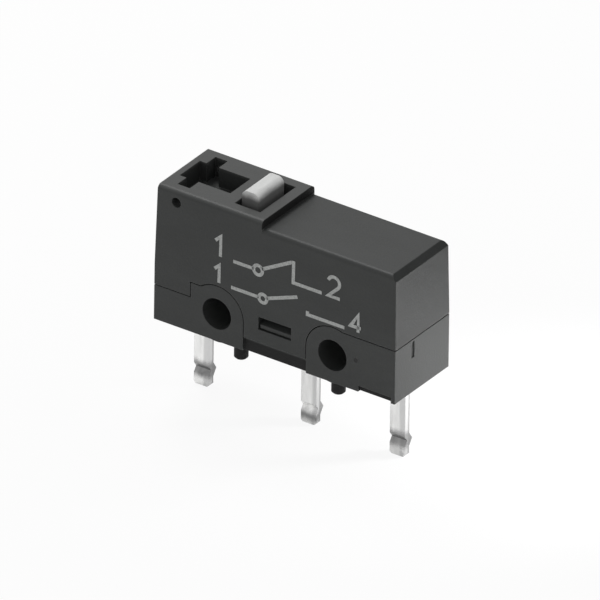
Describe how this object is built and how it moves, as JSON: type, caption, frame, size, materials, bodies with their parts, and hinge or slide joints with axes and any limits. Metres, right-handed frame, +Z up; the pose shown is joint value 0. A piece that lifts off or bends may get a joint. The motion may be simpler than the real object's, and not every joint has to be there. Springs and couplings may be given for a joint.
{
  "type": "micro switch",
  "caption": "Subminiature snap-action switch: moulded housing with mounting holes, ridge plunger, pocket for an accessory lever, locating bosses and solder terminals",
  "frame": {"origin": "midway between the two mounting holes, on their axes' common height and at half the housing's thickness", "axes": "+X along the housing from the common terminal to the normally closed one, +Y through its thickness to the back, +Z up towards the plunger"},
  "size_m": [0.0198, 0.0064, 0.0172],
  "materials": {
    "housing_plastic": "dark grey glass-filled thermoplastic, fine matt mould texture",
    "base_plastic": "dark grey thermoset, slightly smoother than the cover",
    "plunger_plastic": "pale grey acetal, satin",
    "lever_steel": "stamped stainless steel",
    "blade_copper": "stamped spring copper alloy",
    "spring_steel": "drawn stainless spring wire",
    "contact_silver": "silver alloy, satin",
    "terminal_tin": "tinned brass, bright, slightly uneven",
    "seal_resin": "poured black resin"
  },
  "bodies": {
    "housing": {"case": "housing_plastic", "base": "base_plastic", "terminal_common": "terminal_tin", "terminal_normally_open": "terminal_tin", "terminal_normally_closed": "terminal_tin", "fixed_contact_normally_open": "contact_silver", "fixed_contact_normally_closed": "contact_silver", "seal_common": "seal_resin", "seal_normally_open": "seal_resin", "seal_normally_closed": "seal_resin"},
    "plunger": {"plunger": "plunger_plastic"},
    "drive_lever": {"drive_lever": "lever_steel"},
    "contact_arm": {"contact_arm": "blade_copper", "moving_contact": "contact_silver"},
    "snap_spring": {"snap_spring": "spring_steel"}
  },
  "joints": [
    {"name": "plunger_press", "type": "slide", "parent": "housing", "child": "plunger", "axis": [0, 0, 1], "range_m": [-0.0008, 0], "stiffness_N_per_m": 1500, "springref_m": 0.0005, "deforming": ["snap_spring"]},
    {"name": "drive_lever_tilt", "type": "hinge", "parent": "housing", "child": "drive_lever", "pos_m": [-0.0079, 0, 0.0059], "axis": [0, 1, 0], "range_deg": [0, 10]},
    {"name": "contact_arm_swing", "type": "hinge", "parent": "housing", "child": "contact_arm", "pos_m": [-0.00665, 0, 0.00465], "axis": [0, 1, 0], "range_deg": [0, 2.3]},
    {"name": "snap_spring_swing", "type": "hinge", "parent": "contact_arm", "child": "snap_spring", "pos_m": [0.00305, 0, 0.00465], "axis": [0, 1, 0], "range_deg": [-12, 0]}
  ],
  "couplings": [
    {"joint": "drive_lever_tilt", "follows": "plunger_press", "rad_per_m": -217.39},
    {"joint": "contact_arm_swing", "follows": "plunger_press", "rad_per_m": -49.801},
    {"joint": "snap_spring_swing", "follows": "plunger_press", "rad_per_m": 261.18}
  ]
}
